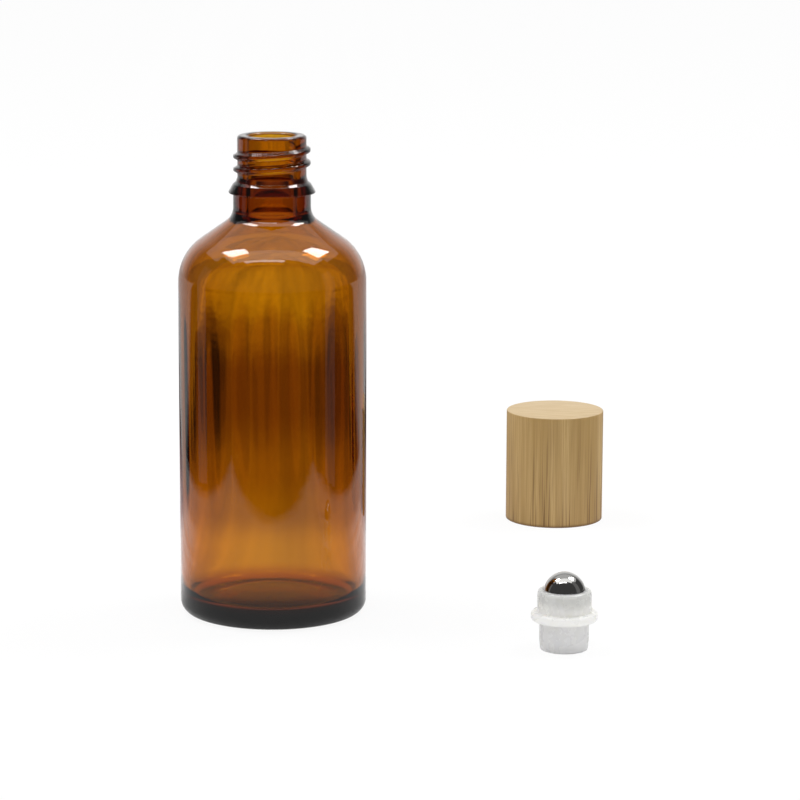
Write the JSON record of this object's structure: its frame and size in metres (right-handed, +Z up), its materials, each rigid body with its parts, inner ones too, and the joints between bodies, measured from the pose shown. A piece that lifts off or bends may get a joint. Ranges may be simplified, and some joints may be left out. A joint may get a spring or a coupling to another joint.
{
  "type": "roll-on bottle",
  "caption": "Amber glass roll-on bottle with a screw neck, its push-in insert with a steel roller ball, and its bamboo screw cap standing beside it.",
  "frame": {"origin": "centre of the bottle's base, on the surface that all three items stand on", "axes": "+Z up along the bottle's axis, +X to the right as in the picture, +Y away from the viewer"},
  "size_m": [0.1063, 0.1501, 0.112],
  "materials": {
    "amber_glass": "clear amber, fire polished",
    "natural_polypropylene": "translucent natural, as moulded",
    "polished_steel": "mirror polished stainless steel",
    "bamboo": "turned and fine sanded, clear matt lacquer",
    "liner_plastic": "white, as moulded",
    "foam": "closed-cell foam"
  },
  "bodies": {
    "bottle": {"glass_bottle": "amber_glass"},
    "pad": {"seal_pad": "foam"},
    "cap": {"cap_shell": "bamboo", "cap_liner": "liner_plastic"},
    "insert": {"roller_housing": "natural_polypropylene"},
    "ball": {"roller_ball": "polished_steel"}
  },
  "joints": [
    {"name": "cap_carry", "type": "slide", "parent": "bottle", "child": "pad", "axis": [-0.321, -0.4235, 0.8471], "range_m": [0, 0.2243]},
    {"name": "cap_turn", "type": "hinge", "parent": "pad", "child": "cap", "pos_m": [0.072, 0.095, 0.0219], "axis": [0, 0, 1], "continuous": true},
    {"name": "insert_carry", "type": "slide", "parent": "bottle", "child": "insert", "axis": [-0.4159, 0.2206, 0.8822], "range_m": [0, 0.15869]},
    {"name": "ball_roll", "type": "hinge", "parent": "insert", "child": "ball", "pos_m": [0.066, -0.035, 0.0129], "axis": [1, 0, 0], "continuous": true}
  ]
}
